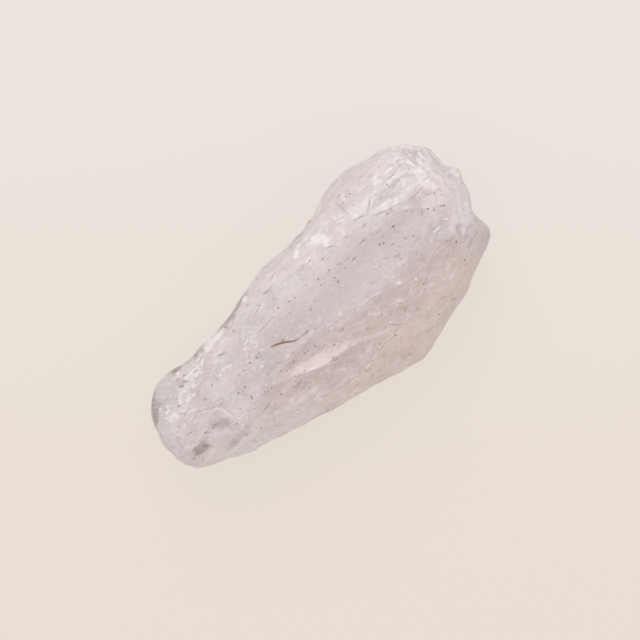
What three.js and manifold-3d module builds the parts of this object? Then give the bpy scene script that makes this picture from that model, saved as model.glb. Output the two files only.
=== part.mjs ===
// A rough morganite crystal: one broken and naturally etched piece of pink beryl of about 80 carat.
// Units are millimetres. +X runs along the crystal to its wide end, +Y to its bright bevelled side, +Z up.
// The crystal lies on a flat prism face. Its origin is the centre of its bounding box, at the bottom.
import * as THREE from "three";
import { mergeVertices } from "three/addons/utils/BufferGeometryUtils.js";
import { ImprovedNoise } from "three/addons/math/ImprovedNoise.js";
import Module from "manifold-3d";

const wasm = await Module();
wasm.setup();

// Driving dimensions
const loftStart = -22.6; // where the loft begins, past the narrow end's break
const loftEnd = 21.0; // where the loft stops, past the wide end's break
const stationStep = 0.8; // distance between the loft's sections
const prismFaceHeight = 0.3; // where the flat prism face underneath cuts the loft
// How the faces wander from flat: how far, the width of a wave across the crystal, and its length along it.
const swells = { height: 0.22, across: 4.6, along: 7.5 };
const flutes = { height: 0.11, across: 1.7, along: 11 };
const farAway = 60; // larger than the crystal, for cutters that take off all beyond a plane
const overlap = 0.1; // how far two cutters that meet reach into each other

// The crystal's lengthwise edges, as [x, y, z] from the narrow end to the wide one. Each section visits them
// in this order: over the top from the far side (+Y) to the near side (-Y), and back underneath. facets is
// the number of strips between one edge and the next. The two rims are the outline from above, and stay as
// drawn.
const edges = [
  {
    name: "far rim",
    isRim: true,
    facets: 4,
    points: [
      [-22.6, 5.0, 5.8], [-19.5, 5.3, 6.2], [-18, 5.55, 6.4], [-16.5, 5.7, 6.5], [-15.6, 5.6, 6.4],
      [-15, 5.4, 6.4], [-13.6, 5.25, 6.4], [-12.2, 5.5, 6.6], [-11, 5.3, 6.8], [-9.7, 5.4, 7.0],
      [-7.6, 5.6, 7.0], [-6.5, 6.1, 6.9], [-5.2, 6.45, 6.8], [-3.6, 6.8, 7.0], [-2.7, 7.1, 7.1],
      [-1.5, 7.2, 7.2], [0, 7.1, 7.3], [3.6, 7.15, 7.4], [4.8, 7.45, 7.5], [6.6, 8.0, 7.6],
      [7.6, 8.5, 7.6], [9.2, 8.8, 7.7], [10.4, 8.95, 7.8], [12, 8.6, 7.9], [13.8, 8.15, 7.9],
      [15.2, 8.1, 7.8], [16, 7.7, 7.7], [17.3, 7.2, 7.5], [21, 6.2, 7.2],
    ],
  },
  {
    name: "far bevel",
    facets: 4,
    points: [
      [-22.6, 3.4, 6.6], [-19.5, 3.9, 7.3], [-18, 4.4, 7.6], [-16.5, 4.3, 8.0], [-15, 4.0, 8.6],
      [-12.5, 4.5, 9.1], [-11.2, 4.7, 9.0], [-9, 5.0, 9.2], [-7, 5.4, 9.6], [-5, 5.9, 9.7], [-3, 6.2, 10.1],
      [0, 6.3, 10.5], [3, 6.5, 10.8], [6, 6.8, 11.4], [8, 7.1, 11.7], [11, 7.4, 11.8],
      [14, 7.0, 11.6], [16, 6.6, 10.9], [18, 5.6, 10.1], [21, 4.6, 9.2],
    ],
  },
  {
    name: "bevel top",
    facets: 5,
    points: [
      [-22.6, 0.8, 7.6], [-20, 0.3, 8.7], [-18.5, 0.5, 9.5], [-16.5, 1.1, 10.1], [-15, 2.0, 10.5],
      [-13.7, 2.8, 10.7], [-12.2, 3.7, 10.8], [-10, 4.1, 11.2], [-8.5, 4.6, 11.2], [-5, 5.2, 11.7],
      [-2, 5.1, 12.4], [1, 4.9, 12.9], [4, 4.3, 13.4], [6, 4.4, 13.6], [8, 4.9, 13.6],
      [12, 5.0, 13.8], [15.3, 5.2, 13.3], [17.5, 4.2, 12.2], [21, 3.0, 10.2],
    ],
  },
  {
    name: "crest",
    facets: 4,
    points: [
      [-22.6, -0.9, 7.5], [-20.3, -1.0, 8.8], [-18, -0.6, 9.9], [-15, -0.4, 10.9], [-12, 0.6, 11.6],
      [-8, 1.0, 12.4], [-4, 1.0, 13.1], [0, 1.0, 13.6], [5, 1.4, 14.0], [10, 2.6, 14.2],
      [14, 2.0, 13.9], [16.5, 1.4, 13.0], [21, 0.6, 10.2],
    ],
  },
  {
    name: "shoulder",
    facets: 3,
    points: [
      [-22.6, -2.4, 6.9], [-20.3, -1.9, 8.4], [-18, -2.0, 9.5], [-15, -2.6, 10.4], [-12, -2.5, 11.2],
      [-9, -2.7, 11.9], [-7, -2.4, 12.3], [-4, -1.6, 13.0], [-2, -1.5, 13.4], [0, -2.7, 13.4],
      [3, -3.0, 13.6], [6, -3.0, 13.8], [9, -2.9, 13.9], [12.5, -2.6, 13.6], [15.3, -2.9, 12.5],
      [17, -3.1, 11.3], [21, -3.0, 9.4],
    ],
  },
  {
    name: "ledge top",
    facets: 1,
    points: [
      [-22.6, -3.0, 6.4], [-20, -2.9, 7.8], [-17, -3.3, 9.1], [-14, -3.6, 9.9], [-11, -3.4, 10.7],
      [-8.5, -3.1, 11.4], [-7, -2.8, 11.7], [-5.5, -3.05, 11.7], [-4, -3.45, 11.8], [-2, -4.15, 12.0],
      [0, -4.85, 12.2], [2, -5.7, 12.1], [3.5, -6.0, 11.9], [5, -6.2, 11.7], [8, -5.8, 12.1],
      [11, -5.4, 12.3], [14, -5.0, 11.5], [16.5, -4.5, 10.3], [18.5, -4.1, 9.5], [21, -3.9, 9.0],
    ],
  },
  {
    name: "ledge lip",
    facets: 1,
    points: [
      [-22.6, -3.4, 6.0], [-20, -3.4, 7.4], [-17, -4.0, 8.7], [-14, -4.2, 9.5], [-11, -4.0, 10.3],
      [-8.5, -3.5, 11.1], [-7.5, -3.35, 11.5], [-6.2, -4.1, 11.5], [-5, -4.45, 11.6], [-4.3, -4.8, 11.6],
      [-2.5, -4.95, 11.9], [-0.8, -5.1, 12.1], [0.5, -5.4, 12.1], [2, -5.95, 11.9], [3.5, -6.3, 11.6],
      [5, -6.7, 11.2], [8, -6.2, 11.7], [11, -5.8, 11.9], [14, -5.4, 11.1], [16.5, -4.9, 9.9],
      [18.5, -4.4, 9.2], [21, -4.2, 8.8],
    ],
  },
  {
    name: "ledge foot",
    facets: 4,
    points: [
      [-22.6, -3.7, 5.7], [-20, -3.8, 7.0], [-17, -4.4, 8.2], [-14, -4.6, 9.0], [-11, -4.4, 9.8],
      [-8.5, -3.9, 10.6], [-7.3, -3.7, 10.7], [-6.2, -4.35, 10.6], [-5, -4.65, 10.6], [-4.3, -5.0, 10.5],
      [-2.5, -5.15, 10.7], [-0.8, -5.3, 10.9], [0.5, -5.65, 10.9], [2, -6.2, 11.0], [3.5, -6.6, 11.1],
      [5, -7.05, 10.8], [8, -6.6, 11.1], [11, -6.2, 11.3], [14, -5.8, 10.6], [16.5, -5.2, 9.5],
      [18.5, -4.7, 8.9], [21, -4.5, 8.4],
    ],
  },
  {
    name: "flank ridge",
    facets: 4,
    points: [
      [-22.6, -4.1, 5.2], [-19, -4.6, 6.3], [-16, -5.4, 7.1], [-13, -5.9, 7.9], [-10, -6.4, 8.5],
      [-7, -7.0, 8.8], [-4, -7.5, 8.9], [-1, -7.8, 9.0], [0, -7.6, 9.3], [2, -7.25, 10.0],
      [4, -7.5, 10.0], [8, -8.0, 9.2], [11, -7.7, 8.8], [14, -6.9, 8.4], [17, -5.9, 7.8], [21, -5.0, 7.0],
    ],
  },
  {
    name: "near rim",
    isRim: true,
    facets: 3,
    points: [
      [-22.6, -4.6, 4.4], [-19, -5.05, 4.5], [-18, -5.2, 4.5], [-17.2, -5.45, 4.6], [-16.9, -5.95, 4.6],
      [-15.5, -6.3, 4.7], [-13.5, -6.8, 4.8], [-12, -7.25, 4.9], [-10, -7.9, 4.9], [-8, -8.35, 4.8],
      [-6.5, -8.85, 4.8], [-4.2, -9.3, 4.7], [-3.5, -9.5, 4.7], [-1.2, -9.9, 4.8], [0, -10.2, 4.8],
      [1, -10.6, 4.9], [2.5, -10.9, 5.0], [4.1, -11.2, 5.0], [5.2, -11.05, 5.0], [7, -10.5, 4.9],
      [9.3, -9.75, 4.8], [11, -9.4, 4.7], [12.2, -9.1, 4.6], [14, -8.1, 4.6], [15, -7.7, 4.5],
      [16, -7.3, 4.5], [17.9, -6.6, 4.5], [21, -5.6, 4.6],
    ],
  },
  {
    name: "near underside",
    facets: 3,
    points: [
      [-22.6, -3.4, 2.2], [-17, -4.7, 1.9], [-13, -5.9, 1.6], [-10, -6.5, 1.8], [-4, -7.9, 1.4],
      [0, -8.4, 1.9], [4, -9.3, 1.7], [9, -8.3, 1.4], [14, -6.9, 1.6], [18, -5.5, 1.7], [21, -4.9, 2.2],
    ],
  },
  {
    name: "near base",
    facets: 4,
    points: [
      [-22.6, -1.5, 0.9], [-19, -2.4, 0.1], [-15, -3.1, -0.4], [-10, -4.3, -0.5], [-4, -5.4, -0.4],
      [4, -6.3, -0.6], [10, -5.6, -0.5], [15, -4.2, -0.3], [18.5, -3.0, 0.4], [21, -2.0, 1.4],
    ],
  },
  {
    name: "far base",
    facets: 3,
    points: [
      [-22.6, 1.5, 1.1], [-19, 2.2, 0.2], [-15, 2.6, -0.3], [-10, 2.7, -0.5], [-4, 3.7, -0.4],
      [4, 4.0, -0.5], [10, 5.0, -0.6], [15, 4.0, -0.2], [18.5, 2.5, 0.6], [21, 1.5, 1.6],
    ],
  },
  {
    name: "far underside",
    facets: 4,
    points: [
      [-22.6, 3.7, 3.0], [-17, 4.5, 2.5], [-10, 4.3, 2.3], [-4, 5.5, 2.5], [4, 6.0, 2.2],
      [10, 7.7, 2.8], [15, 6.7, 2.7], [18.5, 4.9, 3.3], [21, 3.6, 3.8],
    ],
  },
];

// The broken ends, seen from above, as [x, y] from the far side to the near side.
const narrowEndBreak = [
  [-17.6, 6.4], [-18.9, 5.3], [-20.0, 4.6], [-21.2, 3.4], [-21.5, 1.7], [-21.9, 0.5],
  [-21.8, -1.5], [-21.5, -2.8], [-21.0, -3.6], [-20.0, -4.5], [-19.0, -5.05], [-17.9, -6.2],
];
const wideEndBreak = [
  [14.9, 9.2], [15.5, 8.1], [16.5, 7.45], [17.6, 6.75], [18.1, 5.85], [18.9, 5.05], [19.1, 3.5],
  [19.0, 2.35], [19.6, 1.8], [20.0, 1.0], [19.5, -0.1], [19.3, -1.0], [18.9, -2.0], [18.2, -3.05],
  [18.2, -3.5], [18.4, -4.6], [18.35, -6.0], [17.8, -6.7], [17.4, -8.0],
];
// Each broken end reaches furthest out along a rim, which lies at height at y = 0 and climbs by climb for
// each millimetre towards the far side. The end draws back by above and by below for each millimetre over
// and under the rim.
const narrowEnd = { outline: narrowEndBreak, side: -1, height: 6.8, climb: 0.12, above: 0.42, below: 0.3 };
const wideEnd = { outline: wideEndBreak, side: 1, height: 7.6, climb: 0.2, above: 0.46, below: 0.34 };

// Flat breaks: each takes off everything beyond the plane through at that faces along facing.
const flatBreaks = [
  { at: [-20.3, -1.0, 8.7], facing: [-0.72, 0.05, 0.69] }, // the narrow end's small top facet
  { at: [-19.8, 2.8, 7.7], facing: [-0.66, 0.42, 0.62] },
  { at: [-20.4, -3.2, 7.2], facing: [-0.52, -0.48, 0.7] },
  { at: [-20.5, 0.3, 1.7], facing: [-0.66, 0.1, -0.74] },
  { at: [-19.0, -3.9, 1.9], facing: [-0.3, -0.62, -0.73] },
  { at: [18.6, 3.4, 10.2], facing: [0.74, 0.3, 0.6] },
  { at: [18.8, -1.2, 10.0], facing: [0.7, -0.2, 0.68] },
  { at: [17.9, 0.5, 2.0], facing: [0.6, 0.05, -0.8] },
  { at: [14.5, 7.5, 4.0], facing: [0.25, 0.72, -0.65] },
  { at: [3.0, -9.9, 2.7], facing: [0.1, -0.78, -0.62] },
];

// The six ways of looking at the crystal: the direction, and the two axes that place a spot. A spot's turn
// counts from the first axis towards the second.
const X = new THREE.Vector3(1, 0, 0);
const Y = new THREE.Vector3(0, 1, 0);
const Z = new THREE.Vector3(0, 0, 1);
const sides = {
  top: { look: Z.clone().negate(), right: X, up: Y },
  underside: { look: Z, right: X, up: Y },
  nearSide: { look: Y, right: X, up: Z },
  farSide: { look: Y.clone().negate(), right: X, up: Z },
  narrowEnd: { look: X, right: Y, up: Z },
  wideEnd: { look: X.clone().negate(), right: Y, up: Z },
};

// Etched hollows that blend into the faces, on each side, as [right, up, length, width, depth, turn].
const hollows = {
  top: [
    [-10.6, 1.8, 7.0, 3.4, 0.3, 14], [-10.4, -1.2, 6.4, 3.0, 0.34, 4], [-5.6, 3.4, 6.0, 2.8, 0.32, 10],
    [-4.2, 0.2, 7.0, 2.6, 0.26, -8], [1.2, 2.8, 8.0, 3.2, 0.34, -4], [1.6, -0.9, 7.0, 2.8, 0.3, 6],
    [7.6, 0.4, 8.0, 3.4, 0.34, -4], [7.4, 3.1, 7.0, 2.2, 0.26, -8], [12.8, 0.2, 6.0, 3.0, 0.3, -10],
    [12.4, 3.9, 6.0, 2.0, 0.3, -8], [7.2, -3.4, 7.0, 2.6, 0.36, 16], [11.8, -4.2, 6.0, 2.2, 0.34, 6],
    [-13.6, -1.6, 5.0, 2.4, 0.34, -4], [1.6, 6.0, 4.4, 1.9, 0.36, -12], [4.6, 5.3, 5.0, 2.4, 0.5, -12],
    [7.4, 6.4, 5.4, 2.2, 0.44, 6], [10.8, 6.9, 5.6, 2.2, 0.44, 2], [13.8, 7.0, 4.0, 1.8, 0.4, -4],
    [-9.4, 4.6, 4.4, 1.6, 0.3, 12], [-1.2, 6.3, 4.6, 1.6, 0.3, 4],
  ],
  nearSide: [
    [-13.0, 7.0, 9.0, 2.6, 0.4, 9], [-5.0, 7.4, 8.0, 2.6, 0.36, 3], [3.0, 8.2, 9.0, 2.8, 0.4, 0],
    [11.0, 7.6, 8.0, 2.8, 0.4, -6], [-9.0, 2.6, 9.0, 2.4, 0.4, 3], [6.0, 2.6, 9.0, 2.4, 0.4, -4],
    [14.0, 3.6, 6.0, 2.4, 0.36, -10],
  ],
  farSide: [
    [-14.0, 4.8, 7.0, 2.2, 0.36, 4], [-6.0, 5.0, 9.0, 2.6, 0.4, 2], [3.0, 5.2, 9.0, 2.6, 0.42, -2],
    [11.0, 5.6, 8.0, 2.8, 0.42, 4], [-10.0, 2.2, 8.0, 2.0, 0.36, -3], [-0.5, 8.8, 8.0, 2.0, 0.3, 6],
    [8.6, 9.6, 7.0, 2.0, 0.3, -3],
  ],
};

// Crisp shell-shaped breaks on each side, placed in the same way.
const shells = {
  top: [
    [-16.4, 2.7, 8.2, 3.3, 0.7, 15], // the bright hollow at the narrow end
    [-13.2, 4.05, 5.0, 1.3, 0.35, 8],
    [-16.3, -2.1, 4.2, 1.7, 0.42, -5],
    [-15.7, -4.6, 4.8, 1.1, 0.4, -5],
    [13.4, 5.8, 4.6, 1.1, 0.34, 3],
    [13.9, -2.1, 3.4, 1.5, 0.34, 3],
    [15.0, 1.5, 2.8, 0.9, 0.24, 8],
  ],
  underside: [
    [-12.6, 3.9, 9.0, 2.2, 0.5, 5],
    [-10.6, -6.1, 9.0, 2.0, 0.45, -12],
    [5.4, 6.0, 8.4, 2.2, 0.5, 14],
  ],
  narrowEnd: [
    [0.6, 3.1, 7.4, 6.4, 0.7, 78],
    [-3.2, 3.3, 5.6, 3.8, 0.5, 100],
  ],
  wideEnd: [
    [1.2, 3.6, 11.0, 7.6, 1.1, 10],
    [6.0, 5.2, 7.0, 5.0, 0.7, 104],
    [-4.4, 4.2, 6.6, 4.8, 0.7, 78],
    [2.6, 9.8, 5.6, 2.6, 0.3, -14],
    [-1.2, 9.6, 3.6, 2.2, 0.26, 10],
  ],
};

// The ribs of the splintered wide end, fanned from the crest down to the near side, as [x, y, length, turn].
const ribs = [
  [15.6, 6.0, 3.4, 92], [16.2, 5.4, 5.0, 96], [16.9, 4.9, 5.2, 103], [17.6, 4.4, 4.6, 106],
  [18.2, 4.1, 3.6, 100], [15.8, 3.1, 2.2, 110], [16.5, 2.4, 3.0, 118], [17.4, 1.9, 3.2, 122],
  [18.2, 1.5, 2.8, 126], [18.9, 0.6, 2.0, 112], [17.7, -0.6, 2.8, 112], [18.5, -0.9, 2.4, 98],
  [16.8, -2.1, 2.6, 62],
];
const rib = { width: 0.8, depth: 0.38 };

// Etch grooves along the crystal: the seams and splits in its upper faces, as [x, y, length, turn].
const grooves = [
  [-13.8, 4.3, 2.8, 6], [-11.2, -3.85, 1.6, 6], [-5.3, 2.35, 2.6, 6], [2.8, -2.85, 2.2, 2],
  [10.6, 3.0, 2.2, -8], [12.1, 2.65, 2.0, -16], [13.6, 2.15, 2.2, -12], [13.3, 5.03, 3.4, 1],
  [8.6, 4.05, 2.2, -14], [2.6, 6.85, 2.6, 4], [-14.6, -5.3, 2.8, 8], [2.0, -7.35, 3.8, 4],
  [-5.4, -0.3, 2.8, -27], [13.4, -7.4, 2.2, 8],
];
const groove = { width: 0.24, depth: 0.2 };

// The lower face at the near corner of the wide end, a step below the splintered part. Its floor starts at
// the corner and climbs by slopeX and slopeY for each millimetre.
const cornerStep = {
  outline: [[15.2, -2.95], [16.3, -3.45], [18.1, -3.1], [23, -2.6], [23, -10], [14.4, -10], [14.6, -5.6]],
  corner: [15, -3, 11.3],
  slopeX: -0.42,
  slopeY: 0.62,
};

// A lengthwise edge's point at x.
function edgePoint(points, x) {
  const next = Math.max(1, points.findIndex((p) => p[0] >= x));
  const [a, b] = [points[next - 1], points[next]];
  const t = THREE.MathUtils.clamp((x - a[0]) / (b[0] - a[0]), 0, 1);
  return new THREE.Vector3(x, THREE.MathUtils.lerp(a[1], b[1], t), THREE.MathUtils.lerp(a[2], b[2], t));
}

// One section: the edges' points at x, with each face between them divided into its strips.
function sectionAt(x) {
  return edges.flatMap(({ points, facets, isRim }, i) => {
    const from = edgePoint(points, x);
    const to = edgePoint(edges[(i + 1) % edges.length].points, x);
    return Array.from({ length: facets }, (_, k) => ({
      point: from.clone().lerp(to, k / facets),
      stays: Boolean(isRim) && k === 0,
    }));
  });
}

const noise = new ImprovedNoise();

function waveAt({ height, across, along }, point) {
  return 2 * height * noise.noise(point.x / along, point.y / across, point.z / across);
}

// How deep the hollows are at a point whose face looks along out: deepest in the middle, nothing at the brim.
function hollowAt(point, out) {
  let depth = 0;
  for (const [name, spots] of Object.entries(hollows)) {
    const { look, right, up } = sides[name];
    if (out.dot(look) > -0.4) continue;
    for (const [atRight, atUp, length, width, middleDepth, turn] of spots) {
      const offset = new THREE.Vector2(point.dot(right) - atRight, point.dot(up) - atUp);
      offset.rotateAround(new THREE.Vector2(), THREE.MathUtils.degToRad(-turn));
      const reach = Math.hypot(offset.x / (length / 2), offset.y / (width / 2));
      if (reach < 1) depth += middleDepth * (1 - reach ** 2) ** 1.5;
    }
  }
  return depth;
}

// Moves a point in or out from the section's middle, so that no face is quite flat.
function undulate(point, middle) {
  const out = point.clone().sub(middle).setX(0).normalize();
  const rise = waveAt(swells, point) + waveAt(flutes, point) - hollowAt(point, out);
  return point.addScaledVector(out, rise);
}

// A closed mesh through all the sections, with a fan over each end.
function loft() {
  const count = Math.round((loftEnd - loftStart) / stationStep);
  const points = [];
  const hubs = [];
  for (let i = 0; i <= count; i++) {
    const section = sectionAt(THREE.MathUtils.lerp(loftStart, loftEnd, i / count));
    const middle = new THREE.Vector3();
    section.forEach(({ point }) => middle.addScaledVector(point, 1 / section.length));
    points.push(...section.map(({ point, stays }) => (stays ? point : undulate(point, middle))));
    hubs.push(middle);
  }
  const around = points.length / (count + 1);
  const faces = [];
  for (let i = 0; i < count; i++) {
    for (let j = 0; j < around; j++) {
      const [a, b] = [i * around + j, i * around + ((j + 1) % around)];
      const [c, d] = [a + around, b + around];
      const splitFromA = points[a].distanceTo(points[d]) < points[b].distanceTo(points[c]);
      faces.push(...(splitFromA ? [a, b, d, a, d, c] : [a, b, c, b, d, c]));
    }
  }
  for (const [i, isFirst] of [[0, true], [count, false]]) {
    const hub = points.push(hubs[i]) - 1;
    for (let j = 0; j < around; j++) {
      const [a, b] = [i * around + j, i * around + ((j + 1) % around)];
      faces.push(hub, ...(isFirst ? [b, a] : [a, b]));
    }
  }
  return new THREE.BufferGeometry().setFromPoints(points).setIndex(faces);
}

// A closed three.js geometry as a solid, for joining and cutting.
function toSolid(geometry) {
  const bare = new THREE.BufferGeometry().setAttribute("position", geometry.getAttribute("position"));
  if (geometry.index) bare.setIndex(geometry.index);
  const merged = mergeVertices(bare, 1e-4);
  return new wasm.Manifold(
    new wasm.Mesh({
      numProp: 3,
      vertProperties: merged.getAttribute("position").array,
      triVerts: new Uint32Array(merged.index.array),
    }),
  );
}

function toGeometry(solid) {
  const mesh = solid.getMesh();
  const geometry = new THREE.BufferGeometry();
  geometry.setAttribute("position", new THREE.BufferAttribute(mesh.vertProperties, 3));
  geometry.setIndex(new THREE.BufferAttribute(mesh.triVerts, 1));
  return geometry;
}

// A block that fills everything beyond a plane.
function beyondPlane({ at, facing }) {
  const normal = new THREE.Vector3(...facing).normalize();
  const block = new THREE.BoxGeometry(farAway, farAway, farAway);
  block.translate(0, 0, farAway / 2);
  block.applyQuaternion(new THREE.Quaternion().setFromUnitVectors(Z, normal));
  block.translate(...at);
  return toSolid(block);
}

// A block that fills everything past a broken end, over its rim or under it.
function pastEnd({ outline, side, height, climb, above, below }, isOver) {
  const shape = new THREE.Shape(outline.map(([x, y]) => new THREE.Vector2(x, y)));
  const [first, last] = [outline[0], outline[outline.length - 1]];
  shape.lineTo(side * farAway, last[1]);
  shape.lineTo(side * farAway, first[1]);
  const block = new THREE.ExtrudeGeometry(shape, { depth: farAway + overlap, bevelEnabled: false });
  block.translate(0, 0, isOver ? -overlap : -farAway);
  const lean = -side * (isOver ? above : -below);
  block.applyMatrix4(new THREE.Matrix4().makeShear(0, 0, 0, climb, lean, 0));
  block.translate(0, 0, height);
  return toSolid(block);
}

// The surface first met from one of the sides, at a spot placed by that side's two axes.
function surfaceAt(mesh, { look, right, up }, alongRight, alongUp) {
  const start = look.clone().multiplyScalar(-farAway);
  start.addScaledVector(right, alongRight).addScaledVector(up, alongUp);
  const [hit] = new THREE.Raycaster(start, look).intersectObject(mesh);
  return { point: hit.point, normal: hit.face.normal.clone() };
}

// A cutter laid on the surface, with its own X along turn and its own Z out of the surface.
function layOn(geometry, { point, normal }, { right, up }, turn, lift) {
  const angle = THREE.MathUtils.degToRad(turn);
  const along = right.clone().multiplyScalar(Math.cos(angle)).addScaledVector(up, Math.sin(angle));
  along.projectOnPlane(normal).normalize();
  const across = new THREE.Vector3().crossVectors(normal, along);
  geometry.translate(0, 0, lift);
  geometry.applyMatrix4(new THREE.Matrix4().makeBasis(along, across, normal));
  geometry.translate(...point.toArray());
  return toSolid(geometry);
}

// An ellipsoid that leaves a shell-shaped hollow of the given length, width and depth.
function shellCutter(spot, side, { length, width, depth, turn }) {
  const height = 3 * depth; // the ellipsoid's half height
  const spread = Math.sqrt(1 - ((height - depth) / height) ** 2);
  const ball = new THREE.IcosahedronGeometry(1, 2);
  ball.scale(length / 2 / spread, width / 2 / spread, height);
  return layOn(ball, spot, side, turn, height - depth);
}

// A long eight-sided splinter that leaves a V-shaped groove with pointed ends.
function grooveCutter(spot, side, { length, width, depth, turn }) {
  const splinter = new THREE.OctahedronGeometry(1);
  splinter.scale(length / 2, width / 2, depth);
  return layOn(splinter, spot, side, turn, 0);
}

// Everything above a sloping floor inside an outline seen from above.
function stepCutter({ outline, corner, slopeX, slopeY }) {
  const shape = new THREE.Shape(outline.map(([x, y]) => new THREE.Vector2(x, y)));
  const block = new THREE.ExtrudeGeometry(shape, { depth: farAway, bevelEnabled: false });
  block.translate(-corner[0], -corner[1], 0);
  block.applyMatrix4(new THREE.Matrix4().makeShear(0, slopeX, 0, slopeY, 0, 0));
  block.translate(...corner);
  return toSolid(block);
}

// The crystal: the loft, broken off at both ends, chipped and etched, and flat underneath.
function crystalSolid() {
  let solid = toSolid(loft());
  const cut = (cutter) => {
    solid = solid.subtract(cutter);
  };
  for (const end of [narrowEnd, wideEnd]) {
    cut(pastEnd(end, true));
    cut(pastEnd(end, false));
  }
  flatBreaks.forEach((plane) => cut(beyondPlane(plane)));
  cut(stepCutter(cornerStep));

  const before = new THREE.Mesh(toGeometry(solid), new THREE.MeshBasicMaterial());
  for (const [name, spots] of Object.entries(shells)) {
    for (const [right, up, length, width, depth, turn] of spots) {
      const spot = surfaceAt(before, sides[name], right, up);
      cut(shellCutter(spot, sides[name], { length, width, depth, turn }));
    }
  }
  for (const [x, y, length, turn] of ribs) {
    cut(shellCutter(surfaceAt(before, sides.top, x, y), sides.top, { length, turn, ...rib }));
  }
  for (const [x, y, length, turn] of grooves) {
    cut(grooveCutter(surfaceAt(before, sides.top, x, y), sides.top, { length, turn, ...groove }));
  }
  cut(beyondPlane({ at: [0, 0, prismFaceHeight], facing: [0, 0, -1] }));
  return solid;
}

const morganite = new THREE.MeshStandardMaterial({ color: 0xd2c5c3, roughness: 0.3, metalness: 0 });
const crystalGeometry = toGeometry(crystalSolid());
crystalGeometry.computeBoundingBox();
const middle = crystalGeometry.boundingBox.getCenter(new THREE.Vector3());
crystalGeometry.translate(-middle.x, -middle.y, -prismFaceHeight);
crystalGeometry.computeVertexNormals();

const crystal = new THREE.Mesh(crystalGeometry, morganite);
crystal.name = "morganite_crystal";

const stone = new THREE.Group();
stone.add(crystal);

export default stone;
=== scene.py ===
# A rough morganite crystal of 80 carat, lying on a pale floor and seen from straight above.
import math
import random

import bpy
import numpy as np
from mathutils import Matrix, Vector, noise


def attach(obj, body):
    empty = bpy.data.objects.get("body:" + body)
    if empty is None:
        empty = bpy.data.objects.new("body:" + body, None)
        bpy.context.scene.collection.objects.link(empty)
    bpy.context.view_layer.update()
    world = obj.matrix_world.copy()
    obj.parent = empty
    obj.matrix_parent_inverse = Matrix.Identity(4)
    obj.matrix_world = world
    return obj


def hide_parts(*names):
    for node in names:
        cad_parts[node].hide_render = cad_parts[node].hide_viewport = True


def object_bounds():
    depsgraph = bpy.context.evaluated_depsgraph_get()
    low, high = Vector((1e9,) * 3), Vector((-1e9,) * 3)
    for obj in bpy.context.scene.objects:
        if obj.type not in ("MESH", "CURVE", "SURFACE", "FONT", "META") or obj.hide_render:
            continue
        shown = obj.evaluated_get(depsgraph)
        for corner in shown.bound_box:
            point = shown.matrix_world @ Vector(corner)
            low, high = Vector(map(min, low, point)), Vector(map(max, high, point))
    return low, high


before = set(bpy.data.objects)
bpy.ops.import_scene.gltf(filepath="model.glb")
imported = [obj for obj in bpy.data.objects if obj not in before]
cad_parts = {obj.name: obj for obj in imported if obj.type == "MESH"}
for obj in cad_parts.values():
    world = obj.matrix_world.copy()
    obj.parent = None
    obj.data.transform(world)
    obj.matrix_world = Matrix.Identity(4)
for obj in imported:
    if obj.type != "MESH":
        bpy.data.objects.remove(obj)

cad_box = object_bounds()

MM = 0.001  # Blender works in metres, and the sizes here are millimetres
NODE = "morganite_crystal"
VOXEL = 0.165  # from point to point of the fine mesh

# Places on the stone are x to its splintered end and y to its bevelled side, from the outline's middle.
ORIGIN = np.array([-0.95, -1.173])  # where the crystal's own origin lies in those terms

# How the faces and the crest are smoothed: the softer, the more a neighbour counts that faces another way.
FACE_SMOOTHING = {"rounds": 16, "softness": 0.08}
CREST_SMOOTHING = {"rounds": 60, "softness": 1}
CREST_SHARE = 0.8  # how much of its smoothing the crest takes up
CREST_SIDES = (0.6, 2.6)  # how far off its line the smoothing starts to fade, and where it ends
CREST_FOOT = 3  # the height below which nothing belongs to the crest

# The nearly flat middle of the main face, the hollow at the narrow end and the flutes at the splintered one.
FLAT_MIDDLE = {"centre": (4.5, 0.4), "radii": (11, 3.6), "turn": -6}
FLATTENING = 0.7
HOLLOW = {"centre": (-16.3, 2.4), "radii": (4.4, 2.2), "turn": 22}
FLUTES = {"centre": (17.2, 4.6), "radii": (2.6, 3.6)}
FLUTE_WIDTH = 0.85

# The heights of the relief. Three numbers are the main face's, and what the bevel and the flanks add.
LONG_BOWLS = (0.015, 0.05, 0.12)
SMALL_BOWLS = (0.08, 0.05, 0.1)
STRIAE = (0.012, 0, 0.02)
CHIPS = 0.18
SPLINTS = 0.04
FLUTE_HEIGHT = 0.1
PIT_DEPTH = 0.12

# The ledge under the main face: where it starts, the lip where it breaks off, and how far it drops there.
LEDGE_START = [(-7.8, -2.6), (-5.3, -2.9), (-2.4, -3.5), (-0.7, -4.1), (0.9, -5.1), (2, -5.8), (3.2, -6.5)]
LEDGE_LIP = [(-7.9, -2.8), (-7, -3.5), (-5, -4.35), (-3.9, -4.8), (-1, -5.05), (0.4, -5.4), (3.2, -6.6)]
LEDGE_DROP = 0.3
LEDGE_REACH = 2.2  # how far past the lip the surface stays lower
LEDGE_ENDS = (-8.0, -6.4, 2.2, 3.4)  # the x where it fades in, is full, starts to fade and ends

# The rim below the hollow at the narrow end, and how far it drops.
HOLLOW_RIM = [(-20.8, 1.4), (-19.6, 0.6), (-17, 1.2), (-15.3, 2.1), (-13.9, 3), (-12.5, 3.9), (-11, 4.1)]
HOLLOW_DROP = 0.16
HOLLOW_REACH = 1.6
HOLLOW_ENDS = (-20.8, -19.5, -12.6, -11.4)

# Where the greyer main face gives way to the pinker flank, and to the bevel on its other side.
FACE_EDGE = [(-23, -3.4), (-12, -2.6), (-6, -1.8), (-2.2, -2), (0, -2.9), (5, -3.2), (9, -3), (22, -3.6)]
BEVEL_EDGE = [(-14, 5.2), (-3, 5.0), (1, 4.2), (8, 4.4), (15, 4.6)]

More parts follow.
